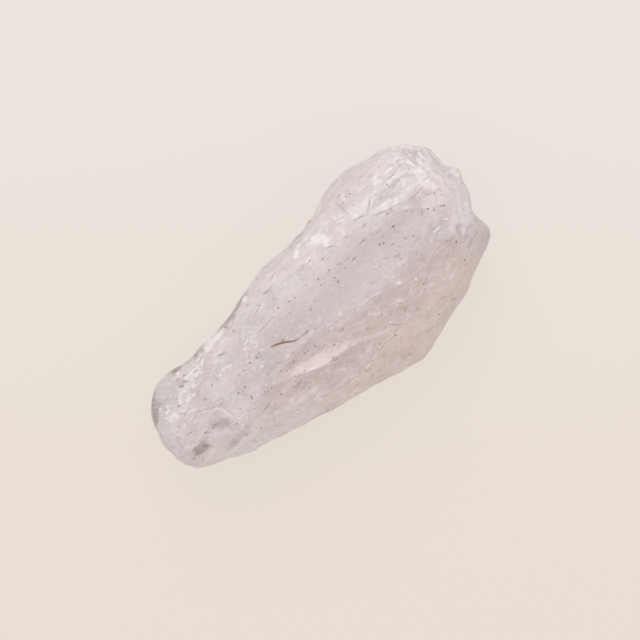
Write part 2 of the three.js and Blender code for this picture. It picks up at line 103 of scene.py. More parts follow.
# Pale and dark patches: how much, and corners that go round to the left. The first dark one is a pit too.
# The pale patches are mostly painted highlights where faces catch the light.
PALE_PATCHES = [
    (1.8, [(-12.2, 4.3), (-9.6, 4.5), (-8.7, 4.9), (-9.8, 5.4), (-11.9, 5.0)]),
    (1.6, [(-17.2, 2.6), (-15.4, 2.9), (-12.9, 4.4), (-12.6, 4.8), (-14.6, 4.2), (-16.6, 3.4)]),
    (0.5, [(-19.8, 1.0), (-17, 1.5), (-15.3, 2.5), (-16.4, 4.2), (-18.6, 4.0)]),
    (2.3, [(3.4, 5.2), (4.5, 4.2), (5.0, 4.5), (5.0, 5.5), (4.0, 5.9)]),
    (2.3, [(15.4, -4.2), (16.4, -3.9), (18.6, -2.3), (19.4, -1.2), (17.5, -2.3), (16.1, -3.1)]),
    (1.0, [(-7.2, 5.4), (-5.0, 5.7), (-4.2, 6.2), (-5.4, 6.2), (-6.8, 5.7)]),
    (0.4, [(-18.8, -3.9), (-16.4, -3.9), (-16.2, -2.9), (-17.4, -3.0)]),
    (0.4, [(12.4, 5.3), (14.6, 5.3), (14.5, 5.9), (12.6, 6.0)]),
    (0.6, [(14.2, -6.6), (19.2, -5.6), (19.0, -4.2), (16.4, -4.3), (14.5, -4.6)]),
    (2.0, [(16.2, -3.2), (17.6, -2.6), (19.0, -1.6), (19.0, -0.6), (17.4, -1.4), (16.2, -2.4)]),
    (0.6, [(-12, -4.8), (-12, -7.4), (-7, -7.6), (-5.5, -5.6), (-7.5, -4.8)]),
    (0.95, [(-18.6, -3.9), (-16.5, -6.2), (-12, -7.4), (-12, -5.0)]),
    (0.3, [(-6.8, -1.8), (-7.0, -2.7), (-2.4, -3.5), (0.5, -4.7), (0.8, -3.4), (-2.0, -1.9)]),
]
# The dark patches are painted shade on facets that face away from the light; the first one's shade lies in a
# real pit.
DARK_PATCHES = [
    (1.0, [(-20.1, -2.3), (-19.4, -2.9), (-17.9, -3.15), (-18.4, -2.05), (-19.3, -2.1)]),
    (1.4, [(-9.9, 5.45), (-8.7, 4.9), (-7.4, 5.3), (-7.2, 5.8), (-9.0, 5.7)]),
    (1.3, [(-7.5, 5.2), (-5.4, 5.9), (-4.6, 6.4), (-6.6, 6.2), (-7.6, 5.8)]),
    (1.0, [(-17.6, 5.1), (-15, 5.0), (-12, 4.7), (-12, 5.1), (-15, 5.7)]),
    (0.75, [(-22, 0.6), (-20.6, 0.9), (-19.4, 3.6), (-18.0, 4.8), (-19.2, 5.2), (-21.6, 2.6)]),
    (0.1, [(14.5, -4.6), (14.2, -6.6), (19.2, -5.6), (19.0, -4.2), (16.4, -4.3)]),
    (0.5, [(-16.9, -1.9), (-15.8, -2.6), (-14.7, -2.6), (-15.0, -1.7), (-16.2, -1.2)]),
    (0.25, [(-18, -4.7), (-14.6, -4.7), (-13.4, -4.3), (-14.2, -3.8), (-16.4, -4.0)]),
    (0.6, [(0.8, 6.6), (3.4, 6.75), (3.4, 7.05), (0.8, 6.9)]),
    (0.3, [(16.0, -4.9), (19.2, -4.6), (19.2, -3.2), (18.6, -3.2), (16.6, -4.2)]),
    (0.3, [(14.7, 1.1), (15.2, 0.9), (15.8, 1.3), (15.4, 1.8), (14.8, 1.6)]),
]

# Where painted sparkles of light lie on small bright faces, in the same way.
SPARKLING = [
    (1.0, [(-17.8, 2.2), (-15.2, 2.6), (-12.4, 4.2), (-12.2, 4.9), (-14.4, 4.4), (-16.8, 3.7)]),
    (0.7, [(-19.8, 1.4), (-18.9, 1.2), (-18.0, 3.2), (-18.3, 4.2), (-19.4, 3.0)]),
    (0.4, [(-16.8, 3.7), (-14.4, 4.4), (-14.6, 5.2), (-16.8, 5.2), (-18.3, 4.2)]),
    (0.6, [(11.6, 5.2), (15.2, 5.2), (15.0, 6.2), (12.0, 6.3)]),
    (0.5, [(2.4, 5.4), (3.6, 4.4), (8.5, 4.7), (8.0, 5.7), (4.0, 6.4)]),
    (0.4, [(-7.0, 5.0), (-1.5, 5.0), (0.0, 5.8), (-4.0, 6.4)]),
    (0.3, [(-9.0, 0.2), (-7.0, 0.4), (-6.6, 3.0), (-8.8, 3.2)]),
]

# How far the edges of the patches are torn.
TEAR = 0.35

# Strokes: a width, and the places they run through. Specks are single places, and streaks share one width.
CRACK = [(0.2, (-6.6, 0.34), (-5.9, 0.1), (-5.3, -0.2), (-4.9, -0.48), (-4.5, -0.75), (-4.0, -0.86))]
RUST = [
    (0.3, (-5.5, 0.12), (-5.1, 0.02)), (0.2, (-5.6, -0.05), (-4.9, -0.35)), (0.2, (4.7, 7.25), (5.0, 7.3)),
]
SPECK_WIDTH = 0.15
SPECKS = [
    (-7.45, -2.15), (-7.0, -2.55), (-5.9, -2.25), (-4.5, -2.4), (-4.2, -2.45), (-3.25, -2.55),
    (-11.5, -2.05), (-11.6, -2.3), (-11.9, -2.55), (-11.55, -2.75), (-9.35, -2.75), (-9.05, -3.9),
    (-8.3, -2.45), (-7.65, -4.15), (-2.85, -0.9), (-2.1, -1.25), (-1.1, 0.4), (-4.65, 4.25), (-8.4, 4.1),
    (0.95, 4.0), (2.15, 4.2), (-3.45, 2.75), (-2.25, 2.55), (-1.5, 2.4), (1.5, 2.25), (2.95, 2.2),
    (2.8, 1.25), (2.8, 0.7), (4.3, 1.3), (5.5, 1.35), (1.35, 1.6), (1.7, 1.55), (-0.35, 5.3), (-9.25, 0.6),
    (-9.1, 0.35), (-8.4, 0.6), (-11.1, -0.6), (-11.3, -0.9), (-1.75, -3.75), (-2.75, -3.6), (-5.75, -3.75),
    (1.9, -4.8), (8.4, 0.7), (8.75, 0.5), (9.35, -0.15), (8.8, -2.45), (9.15, -5.2), (9.65, 6.5),
    (15.9, -0.7), (8.4, -8.7), (0.05, -7.6), (1.2, -7.2), (1.75, -7.0), (3.55, -7.2), (-21.3, 1.25),
    (-16.8, 4.9), (-16.1, 4.35), (-16.4, 3.6), (-16.15, 3.45), (-15.7, 3.7), (-15.3, 4.2), (-17.5, 2.95),
    (-17.8, 2.2), (-13.6, 3.5), (-15.1, 0.85), (-16.6, -1.85), (-15.2, -3.2), (-14.5, -3.1), (-13.0, -5.15),
    (-12.2, -0.9), (-12.7, -2.95), (14.0, -6.3), (10.6, 1.1), (10.5, 0.45), (11.5, -0.9), (14.4, 0.1),
    (14.8, -0.4), (15.9, 0.9), (13.8, -3.6), (14.4, -4.3),
]
STREAK_WIDTH = 0.09
STREAKS = [
    ((-6.6, 2.25), (-5.4, 2.35), (-4.3, 2.45)), ((-3.5, 1.7), (-2.7, 1.6)), ((-2.4, 2.45), (-1.9, 2.5)),
    ((-0.2, 2.65), (0.4, 2.6)), ((2.6, 2.1), (3.2, 2.15)), ((3.7, 2.05), (4.2, 1.95)),
    ((5.2, 1.3), (5.9, 1.35)), ((4.7, 1.72), (5.4, 1.75)), ((-10.9, -4.6), (-10.1, -4.25)),
    ((-11.8, -3.95), (-11.2, -3.95), (-10.6, -3.8)), ((-7.9, 0.9), (-8.0, 0.2)),
    ((-14.2, -1.4), (-14.1, -2.1)), ((-20.3, -0.2), (-20.35, -1.7)), ((-5.6, 3.9), (-4.8, 4.15)),
    ((-2.3, 5.45), (-1.2, 5.7)), ((9.8, 3.2), (11.4, 2.7), (12.4, 2.5), (13.3, 2.1)),
    ((11.0, 2.45), (12.0, 2.2)), ((13.5, 2.0), (14.3, 1.95), (15.6, 2.1)), ((8.2, 3.1), (8.9, 3.2)),
    ((12.0, 5.05), (14.2, 5.0), (15.4, 5.3)), ((8.1, 7.0), (8.0, 6.2), (8.15, 5.1)),
    ((5.0, -5.35), (6.5, -5.4)), ((3.7, -5.8), (4.1, -6.3), (4.9, -6.8)), ((-7.4, -4.45), (-6.6, -4.45)),
    ((-7.2, -4.9), (-6.2, -4.95)), ((-6.9, -5.4), (-6.2, -5.35)),
    ((15.0, -5.5), (16.1, -5.2), (17.3, -5.0)), ((10.2, 1.1), (10.9, 1.2)),
    ((17.4, 1.0), (17.7, 0.3), (18.1, -0.6)), ((15.95, 6.1), (15.95, 4.8)), ((18.45, 4.5), (18.5, 3.6)),
    ((-10.7, -2.8), (-9.7, -2.8)), ((-20.3, -0.1), (-19.8, -0.25)), ((-17.9, -0.4), (-16.7, -0.35)),
    ((-19.5, -1.4), (-18.6, -1.45)), ((-12.0, 0.2), (-11.5, 0.1)), ((-9.9, -0.15), (-9.6, -0.2)),
    ((-0.5, 5.05), (-0.2, 5.0)), ((1.0, 4.4), (1.45, 4.3)), ((-7.2, -7.3), (-6.8, -7.3)),
    ((-2.9, -8.4), (-2.4, -8.4)), ((-16.4, -4.3), (-15.8, -4.3)), ((5.9, -5.5), (6.6, -5.3)),
    ((-2.9, -5.25), (-2.3, -5.25)), ((4.0, 4.05), (5.0, 3.7)), ((6.0, 3.6), (6.7, 3.4)),
    ((8.0, 4.2), (9.4, 3.85)), ((1.0, -7.45), (2.6, -7.15)), ((-8.0, -6.3), (-7.0, -6.2)),
    ((12.5, -4.75), (13.2, -4.65)), ((14.2, -4.3), (14.9, -4.35)), ((15.9, 5.9), (15.95, 4.9), (16.1, 3.9)),
    ((10, 4.1), (10.8, 4.85)), ((-18.0, 0.2), (-16.6, 0.4), (-14.9, -0.4)), ((-19.3, -0.5), (-18.2, -0.8)),
    ((-12.9, 1.3), (-12.9, 2.2)), ((-15.0, 4.1), (-13.8, 4.2), (-12.5, 4.45)), ((16.9, 5.6), (16.9, 4.4)),
    ((-4.0, -0.9), (-2.6, -1.0)),
]
# Pale lines: partly pale streaks in the stone, partly painted highlights along lit edges, folds and ridges.
PALE_LINES_AND_HIGHLIGHTS = [
    (0.12, (-4.9, 1.0), (-4.6, 1.05)), (0.16, (-1.75, 4.85), (-1.9, 4.4), (-1.75, 3.9)),
    (0.14, (-7.8, 1.3), (-7.4, 1.5), (-7.5, 1.8)), (0.14, (-3.7, -5.1), (-3.2, -5.2)),
    (0.14, (13.5, 6.8), (14.0, 7.1), (15.2, 7.2)), (0.16, (13.2, -2.1), (13.9, -2.0), (14.7, -2.05)),
    (0.12, (-1.6, -7.7), (0.0, -7.6), (1.3, -7.3), (3.5, -7.0)),
    (0.14, (4.3, -6.3), (4.9, -6.7), (5.6, -6.8)),
    (0.14, (-3.2, -5.0), (-2, -4.8), (0, -5.15), (1.6, -5.75), (3.0, -6.35)),
    (0.2, (-20.2, -2.05), (-18.4, -1.65), (-17.0, -1.35)), (0.2, (-19.8, 0.0), (-17.2, 0.4), (-15.2, -0.2)),
    (0.24, (-15.2, -0.2), (-14.6, -1.0), (-14.4, -2.2)),
    (0.2, (-17.5, -5.0), (-15.4, -4.85), (-13.6, -4.6)), (0.3, (-19.4, -3.4), (-18.0, -3.6), (-17.2, -3.3)),
    (0.24, (-14.0, -1.3), (-13.2, -1.2), (-12.6, -0.9)),
    (0.2, (-11.4, -2.1), (-10.9, -2.3), (-10.1, -2.25)), (0.24, (-9.0, 1.4), (-8.6, 2.2), (-7.9, 2.5)),
    (0.14, (6.4, -1.9), (6.9, -2.5), (8.0, -2.9)),
    (0.14, (1.4, -3.2), (2.4, -2.7), (4.0, -2.6), (5.6, -2.9)),
    (0.12, (6.8, -5.2), (8.2, -4.6), (9.0, -5.0)), (0.14, (11.0, -4.0), (12.4, -3.7), (13.6, -3.9)),
    (0.12, (7.0, 5.2), (8.0, 5.0)), (0.3, (15.4, 3.4), (16.0, 2.9)), (0.14, (18.4, 3.6), (18.5, 2.8)),
    (0.14, (10.4, 6.4), (11.2, 6.0)), (0.14, (12.4, 6.0), (13.2, 6.2)), (0.12, (-10.6, -2.0), (-9.4, -2.2)),
    (0.4, (15.0, 3.6), (15.5, 3.1)), (0.5, (16.1, 2.4), (16.4, 2.2)),
    (0.6, (16.6, -3.2), (17.4, -2.6), (18.4, -1.9)), (0.3, (15.6, -2.8), (16.4, -3.5)),
    (0.2, (10.0, 3.9), (11.3, 5.0)), (0.3, (19.0, -0.5), (19.0, -1.4)), (0.3, (19.1, 1.7), (19.9, 1.0)),
    (0.16, (14.8, -1.6), (15.6, -2.3)), (0.14, (6.2, -0.6), (6.9, -0.9)),
]
# Glints are painted highlights: white blobs where small faces catch the light.
GLINTS = [
    (0.3, (-18.75, 1.9), (-18.7, 1.6)), (0.24, (-19.5, 3.2), (-19.5, 3.15)),
    (0.2, (-19.2, 2.5), (-19.2, 2.4)), (0.24, (-19.7, 2.2), (-19.65, 2.15)),
    (0.2, (-18.4, 3.9), (-18.4, 3.85)), (0.2, (-17.8, 3.5), (-17.75, 3.5)),
    (0.26, (-15.7, 4.8), (-15.65, 4.8)), (0.24, (-16.8, 2.1), (-16.3, 2.1)),
    (0.2, (-16.1, 2.1), (-15.9, 2.15)), (0.4, (-15.4, 2.8), (-15.1, 2.8)),
    (0.3, (-14.8, 3.0), (-14.7, 2.7)), (0.36, (-14.5, 3.3), (-14.2, 3.4)),
    (0.24, (-14.5, 2.8), (-14.3, 2.7)), (0.3, (-13.9, 3.2), (-13.6, 3.4)),
    (0.24, (-13.2, 3.9), (-12.8, 4.2)), (0.26, (-8.65, -0.5), (-8.55, -0.5)),
    (0.24, (-5.6, 5.75), (-5.2, 5.85)), (0.2, (-6.1, -1.45), (-5.9, -1.4)), (0.4, (1.3, 5.5), (1.8, 5.75)),
    (0.14, (-1.0, -2.3), (-0.7, -2.35)), (0.22, (-5.1, -4.05), (-4.5, -4.25)),
    (0.2, (-3.8, -5.0), (-3.4, -5.1)), (0.2, (2.1, 6.1), (2.5, 6.15)),
    (0.22, (13.4, 5.6), (13.9, 5.68), (14.5, 5.6)), (0.26, (16.1, 7.1), (16.1, 7.0)),
    (0.3, (16.15, 5.0), (16.2, 4.2)), (0.24, (16.8, 5.7), (16.9, 4.8)), (0.26, (17.0, 4.4), (17.2, 3.5)),
    (0.24, (17.6, 5.0), (17.5, 4.2)), (0.26, (18.0, 4.4), (17.9, 3.7)), (0.28, (18.65, 4.5), (18.75, 3.5)),
    (0.2, (8.8, -4.3), (8.8, -4.4)), (0.24, (7.1, -3.4), (7.4, -3.55)), (0.2, (13.3, -2.0), (14.2, -2.05)),
    (0.2, (-12.4, 1.7), (-12.3, 1.7)), (0.16, (-10.6, 4.6), (-9.8, 4.7)),
]

# A place that isn't near a stroke counts as this many half widths away from it.
FAR = 30.0

# Dashes are strewn over strips of the stone laid out flat: how many, and the lowest and highest y of each.
STRIP = 100  # from strip to strip, which are the top, the near side, the far side and the underside
STRIPS = [
    (150, -9, 8),
    (40, STRIP, STRIP + 9),
    (40, 2 * STRIP, 2 * STRIP + 9),
    (40, 3 * STRIP - 9, 3 * STRIP + 8),
]
DULL_DASHES = {"seed": 31, "lengths": (0.25, 0.9), "widths": (0.1, 0.22)}
BRIGHT_DASHES = {"seed": 32, "lengths": (0.3, 1.0), "widths": (0.16, 0.42)}

# The floor and the camera. The camera looks straight down, and the stone lies turned in its picture.
BASE_CLEARANCE = 0.03  # from the stone down to the floor
FLOOR_HALF = 2000  # from the middle of the floor to its edges
PICTURE = 640  # pixels across the picture
PIXEL = 0.103  # the size of a pixel at the height of the stone's rim
TURN = 42  # degrees between the picture's level and the stone's length
RIM_HEIGHT = 7
AIM = (-0.17, 0.24)  # the place that the camera is over
LENS = 135  # the camera's focal length
SENSOR = 36
NEAREST = 10  # nothing nearer to the camera than this shows

# The lights: a large soft one, a small one that makes sparks, and the sky.
KEY_LIGHT = {"place": (200, 460, 420), "size": (500, 350), "watts": 1.9}
SPARK_LIGHT = {"place": (120, 280, 400), "size": (50, 50), "watts": 0.12}
SKY_COLOUR = (1, 0.985, 0.97, 1)
SKY_STRENGTH = 1.12


def remeshed(node):
    """The node's shape as an even mesh of small quads: its points and its faces."""
    mesh = node.data.copy()
    mesh.transform(node.matrix_world)
    for vertex in mesh.vertices:
        vertex.co /= MM
    temp = bpy.data.objects.new("temp", mesh)
    bpy.context.scene.collection.objects.link(temp)
    modifier = temp.modifiers.new("remesh", "REMESH")
    modifier.mode = "VOXEL"
    modifier.voxel_size = VOXEL
    depsgraph = bpy.context.evaluated_depsgraph_get()
    fine = bpy.data.meshes.new_from_object(temp.evaluated_get(depsgraph))
    points = np.empty(len(fine.vertices) * 3)
    fine.vertices.foreach_get("co", points)
    faces = np.empty(len(fine.loops), dtype=np.int64)
    fine.loops.foreach_get("vertex_index", faces)
    bpy.data.objects.remove(temp)
    return points.reshape(-1, 3), faces.reshape(-1, 4)


def normals_of(points, faces):
    corner = points[faces]
    face_normal = np.cross(corner[:, 2] - corner[:, 0], corner[:, 3] - corner[:, 1])
    total = np.zeros_like(points)
    for k in range(4):
        for axis in range(3):
            total[:, axis] += np.bincount(faces[:, k], face_normal[:, axis], len(points))
    return total / np.maximum(np.linalg.norm(total, axis=1, keepdims=True), 1e-12)


def edges_of(faces):
    pairs = np.concatenate([faces[:, [k, (k + 1) % 4]] for k in range(4)])
    return np.unique(np.sort(pairs, axis=1), axis=0)


def smoothed(points, faces, rounds, softness):
    """Smooths the faces and keeps the edges: a neighbour that faces another way counts for little."""
    pull = 0.6
    a, b = edges_of(faces).T
    for _ in range(rounds):
        normal = normals_of(points, faces)
        weight = np.exp(-(1 - np.sum(normal[a] * normal[b], axis=1)) / softness)
        total = np.bincount(a, weight, len(points)) + np.bincount(b, weight, len(points))
        mean = np.empty_like(points)
        for axis in range(3):
            mean[:, axis] = np.bincount(a, weight * points[b, axis], len(points))
            mean[:, axis] += np.bincount(b, weight * points[a, axis], len(points))
        points = points + pull * (mean / total[:, None] - points)
    return points


def smoothstep(low, high, value):
    t = np.clip((value - low) / (high - low), 0, 1)
    return t * t * (3 - 2 * t)


def between(ends, value):
    """1 between the inner two of four ends, easing to 0 at the outer two."""
    start, full, fading, end = ends
    return smoothstep(start, full, value) * (1 - smoothstep(fading, end, value))


def from_above(points):
    """The x and y of the points in the terms of the lists above."""
    return (points[:, :2] + ORIGIN).T


def noise_places(points, size, seed):
    """Where the points lie in a noise pattern of the given size along x, y and z."""
    seed_step = 7.31
    return (points / np.array(size) + seed * seed_step).tolist()


def waves(points, size, seed):
    """Smooth noise from -1 to 1."""
    return np.array([noise.noise(p, noise_basis="PERLIN_ORIGINAL") for p in noise_places(points, size, seed)])


def scallops(points, size, seed):
    """Bowls that meet in sharp ridges: -0.25 in their middles, about 0.3 on the ridges."""
    away = np.array([noise.voronoi(p)[0][0] for p in noise_places(points, size, seed)])
    return away ** 2 - 0.25


def off_line(x, y, line):
    """How far each place lies from a line of points, more than 0 on its left and less on its right."""
    best = np.full(len(x), np.inf)
    side = np.ones(len(x))
    for (x1, y1), (x2, y2) in zip(line, line[1:]):
        dx, dy = x2 - x1, y2 - y1
        t = np.clip(((x - x1) * dx + (y - y1) * dy) / (dx * dx + dy * dy), 0, 1)
        away = np.hypot(x - x1 - t * dx, y - y1 - t * dy)
        nearer = away < best
        best = np.where(nearer, away, best)
        side = np.where(nearer, np.sign(dx * (y - y1) - dy * (x - x1)), side)
    return best * side


def spot(x, y, centre, radii, turn=0):
    """A soft oval patch: 1 around its middle, 0 from its rim outwards, turned by an angle in degrees."""
    core = 0.45
    cos, sin = math.cos(math.radians(turn)), math.sin(math.radians(turn))
    along = (x - centre[0]) * cos + (y - centre[1]) * sin
    across = (y - centre[1]) * cos - (x - centre[0]) * sin
    return 1 - smoothstep(core, 1, np.hypot(along / radii[0], across / radii[1]))


def inside(x, y, corners, soft):
    """1 inside a convex patch and 0 outside it, for corners that go round to the left."""
    depth = np.full(len(x), np.inf)
    for (x1, y1), (x2, y2) in zip(corners, corners[1:] + corners[:1]):
        length = math.hypot(x2 - x1, y2 - y1)
        depth = np.minimum(depth, ((x2 - x1) * (y - y1) - (y2 - y1) * (x - x1)) / length)
    return smoothstep(-soft, soft, depth)


def patches(x, y, listed, soft):
    """The listed patches, each with its own amount: the most that lies on a place."""
    return np.maximum.reduce([amount * inside(x, y, corners, soft) for amount, corners in listed])


def stroke_field(x, y, strokes, near=0.35):
    """Each place as seen from the nearest stroke, in half widths: past its end, beside it, and 0.

    The length of this vector is below 1 on a stroke. All three parts are FAR where no stroke is near, and
    where two are equally near, which keeps false strokes from appearing half-way between two real ones.
    """
    tie = 0.05
    nearest = np.full(len(x), np.inf)
    second = np.full(len(x), np.inf)
    field = np.full((len(x), 3), FAR)
    for width, *line in strokes:
        away = np.full(len(x), np.inf)
        beside, past, reached = np.zeros((3, len(x)))
        lengths = [math.dist(a, b) for a, b in zip(line, line[1:])]
        for k, ((x1, y1), (x2, y2)) in enumerate(zip(line, line[1:])):
            dx, dy = (x2 - x1) / lengths[k], (y2 - y1) / lengths[k]
            along = (x - x1) * dx + (y - y1) * dy
            across = (y - y1) * dx - (x - x1) * dy
            on = np.clip(along, 0, lengths[k])
            gap = np.hypot(along - on, across)
            over = along - on
            outside = (over < 0) & (k == 0) | (over > 0) & (k == len(lengths) - 1)
            closer = gap < away
            away = np.where(closer, gap, away)
            beside = np.where(closer, np.where(outside, across, np.sign(across) * gap), beside)
            past = np.where(closer, np.where(outside, np.abs(over), 0), past)
            reached = np.where(closer, (sum(lengths[:k]) + on) / sum(lengths), reached)
        thinning = 0.5 if sum(lengths) > 3 * width else 0
        half = width / 2 * (1 - thinning + thinning * np.sin(math.pi * reached))
        closer = away < nearest
        second = np.where(closer, nearest, np.minimum(second, away))
        nearest = np.where(closer, away, nearest)
        field[closer] = np.stack([past / half, beside / half, np.zeros(len(x))], axis=1)[closer]
    field[(nearest > near) | (second - nearest < tie)] = FAR
    return field


def strewn_strokes(seed, lengths, widths):
    """Short bent strokes strewn over the strips in patches, mostly along the crystal."""
    chance = random.Random(seed)
    strokes = []
    for count, y_low, y_high in STRIPS:
        wanted = len(strokes) + count
        while len(strokes) < wanted:
            middle = Vector((chance.uniform(-21, 20), chance.uniform(y_low, y_high)))
            if noise.noise((middle.x / 3, middle.y / 2, seed)) < chance.uniform(-0.3, 0.3):
                continue
            turn = math.radians(chance.gauss(-4, 24))
            half = Vector((math.cos(turn), math.sin(turn))) * chance.uniform(*lengths) / 2
            bend = Vector((-half.y, half.x)) * chance.uniform(-0.25, 0.25)
            strokes.append((chance.uniform(*widths), middle - half, middle + bend, middle + half))
    return strokes


def drop(x, y, line, depth, reach):
    """How much lower the surface is on the right of a line, where it breaks off and then eases back."""
    off = off_line(x, y, line)
    return depth * (1 - smoothstep(-0.1, 0.08, off)) * smoothstep(-reach, -0.3, off)


# The shape is the crystal's own, with smoothed faces and a rounder crest along the bevel.
points, faces = remeshed(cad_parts[NODE])
points = smoothed(points, faces, **FACE_SMOOTHING)
rounder = smoothed(points, faces, **CREST_SMOOTHING)
crest = 1 - smoothstep(*CREST_SIDES, np.abs(off_line(*from_above(points), BEVEL_EDGE)))
points += (rounder - points) * (CREST_SHARE * crest * (points[:, 2] > CREST_FOOT))[:, None]

# The middle of the main face is drawn towards the plane that fits it best.
normal = normals_of(points, faces)
calm = spot(*from_above(points), **FLAT_MIDDLE) * smoothstep(0.5, 0.8, normal[:, 2])
level = np.column_stack([points[:, :2], np.ones(len(points))])
middle = calm > 0.2
plane = np.linalg.lstsq(level[middle], points[middle, 2], rcond=None)[0]
points[:, 2] += FLATTENING * calm * (level @ plane - points[:, 2])

# Where the points are: how far they face up, how far they are off the base, and in which part of the stone.
normal = normals_of(points, faces)
x, y = from_above(points)
z = points[:, 2]
up = smoothstep(0.1, 0.45, normal[:, 2])
flank = 1 - up
off_base = smoothstep(0.1, 0.9, z)
warp = np.stack([waves(points, (2.5, 2.5, 2.5), seed) for seed in (11, 12, 13)], axis=1)
splintered = smoothstep(13.8, 16.8, x + 1.6 * warp[:, 0] + 0.8 * warp[:, 1]) * smoothstep(-4.2, -3.0, y)
hollow = spot(x, y, **HOLLOW) * up
bevel = smoothstep(-0.8, 0.8, off_line(x, y, BEVEL_EDGE) + 0.8 * warp[:, 1]) * up
flutes = spot(x, y, **FLUTES) * up
clean = (1 - splintered) * (1 - hollow)


def relief(heights):
    """How high one kind of relief is at each point."""
    on_face, bevel_adds, flank_adds = heights
    return on_face + bevel_adds * bevel + flank_adds * flank


# The etch marks and breaks: their patterns, then how far each point rises or falls by them.
bent = points + 0.7 * warp
long_bowls = scallops(bent, (3.4, 1.3, 1.3), 1)
small_bowls = scallops(bent, (1.5, 0.62, 0.62), 2)
chips = scallops(bent, (1.4, 1.1, 1.1), 3)
splints = scallops(bent, (0.6, 1.1, 0.8), 6)
striae = waves(points, (3.0, 0.4, 0.4), 4)
patchy = smoothstep(-0.3, 0.3, waves(points, (3.2, 2.0, 2.0), 5))
etched = clean * (0.3 + 0.7 * patchy) * (1 - 0.7 * calm)

rise = clean * (relief(LONG_BOWLS) * long_bowls + relief(STRIAE) * striae)
rise += etched * relief(SMALL_BOWLS) * small_bowls
rise += (splintered + 0.3 * hollow) * (CHIPS * chips + SPLINTS * splints)
rise += flutes * FLUTE_HEIGHT * np.abs(np.sin(x * math.pi / FLUTE_WIDTH + 1.6 * warp[:, 1]))

ledge_ends = between(LEDGE_ENDS, x) * up
rim_ends = between(HOLLOW_ENDS, x) * up
rise -= drop(x, y, LEDGE_LIP, LEDGE_DROP, LEDGE_REACH) * ledge_ends
rise -= drop(x, y, HOLLOW_RIM[::-1], HOLLOW_DROP, HOLLOW_REACH) * rim_ends
rise -= PIT_DEPTH * patches(x, y, DARK_PATCHES[:1], 0.12) * up

points = points + normal * (rise * off_base)[:, None]
low, high = (np.array(corner) / MM for corner in cad_box)
points = np.clip(points, low, high)

mesh = bpy.data.meshes.new("morganite_rough")
mesh.from_pydata((points * MM).tolist(), [], faces.tolist())
mesh.polygons.foreach_set("use_smooth", [True] * len(mesh.polygons))
mesh.update()
stone = bpy.data.objects.new("morganite_rough", mesh)
bpy.context.scene.collection.objects.link(stone)
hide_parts(NODE)
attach(stone, "root")


def layer(name, values):
    """Stores a number or a vector for each point of the mesh, for the material to read."""
    kind = "FLOAT" if values.ndim == 1 else "FLOAT_VECTOR"
    field = "value" if values.ndim == 1 else "vector"
    mesh.attributes.new(name, kind, "POINT").data.foreach_set(field, values.astype(np.float32).ravel())


# The zones of colour. Patches have torn edges and lie on the top, which ends higher up on the far side.
tear = [waves(points, (0.7, 0.7, 0.7), seed) for seed in (21, 22)]
torn_x = x + TEAR * tear[0]
torn_y = y + TEAR * tear[1]
top = smoothstep(-0.05, 0.1, normal[:, 2]) * smoothstep(2, 4, z - 2.4 * smoothstep(-2, 2, y))
rosy = 1 - smoothstep(-0.9, 0.5, off_line(x, y, FACE_EDGE) + 0.5 * warp[:, 0])
prism_end = smoothstep(13, 16, x)
rosy *= smoothstep(-17, -4, x) * (1 - 0.9 * prism_end)
steep = (1 - smoothstep(0.6, 0.85, normal[:, 2])) * (1 - smoothstep(-2, 2, y)) * (1 - 0.5 * prism_end)
narrow_end = 1 - smoothstep(-19.5, -17.5, x)
# Pale: the splintered end's milky breaks, also painted paler against its shade; painted highlights on the
# narrow end, the hollow and the patches; and the bevel and far side painted paler where the light falls.
pale = np.maximum.reduce([
    splintered * (1.0 + 0.4 * warp[:, 2]),
    0.65 * steep * (1 - smoothstep(-12, -1, x)),
    0.5 * narrow_end,
    0.42 * (1 - smoothstep(-13, -8, x)) * (1 - 0.7 * hollow),
    0.4 * smoothstep(0.8, 3.2, y) * (1 - 0.7 * hollow),
    bevel * (0.3 + 0.3 * warp[:, 1]),
    hollow * (0.05 + 0.5 * warp[:, 2]),
    patches(torn_x, torn_y, PALE_PATCHES, 0.2) * (0.9 + 0.4 * tear[0]),
])
# Painted shade on the dark patches.
dark = patches(torn_x, torn_y, DARK_PATCHES, 0.25) * (0.9 + 0.6 * tear[1])
layer("rosy", rosy)
layer("steep", steep)
# The etch bowls' and chips' heights, read as painted light on their ridges and painted shade in their
# middles.
layer("bowl_shade_ridge_light", etched * small_bowls + splintered * (0.7 * chips + 0.3 * splints))
# Where painted sparkles go.
layer("sparkling", patches(torn_x, torn_y, SPARKLING, 0.3) * top)
layer("pale", np.clip(pale, 0, 2) * (1 - dark) * top)
layer("dark", dark * top)
layer("broken", np.clip(splintered + 0.5 * hollow + 0.3 * bevel, 0, 1))
layer("fluted", flutes)
layer("lively", 1 - 0.7 * calm)
layer("ledge_start", off_line(x, y, LEDGE_START))
layer("ledge_lip", off_line(x, y, LEDGE_LIP))
layer("ledge_ends", ledge_ends)

# The marks. The dashes are strewn over all sides, and the others lie on the top only.
laid_out = np.where(normal[:, 2] < 0.3, z + np.where(y < 0, STRIP, 2 * STRIP), y)
laid_out = np.where(normal[:, 2] < -0.5, y + 3 * STRIP, laid_out)
layer("dull_dashes", stroke_field(x, laid_out, strewn_strokes(**DULL_DASHES)))
layer("bright_dashes", stroke_field(x, laid_out, strewn_strokes(**BRIGHT_DASHES)))

strokes = {
    "crack": CRACK,
    "rust": RUST,
    "specks": [(SPECK_WIDTH * (0.8 + px % 0.4), (px - 0.06, py), (px + 0.06, py)) for px, py in SPECKS],
    "streaks": [(STREAK_WIDTH, *line) for line in STREAKS],
    "pale_lines_and_highlights": PALE_LINES_AND_HIGHLIGHTS,
    "glints": GLINTS,
}
for name, listed in strokes.items():
    layer(name, np.where((top < 0.5)[:, None], FAR, stroke_field(x, y, listed)))


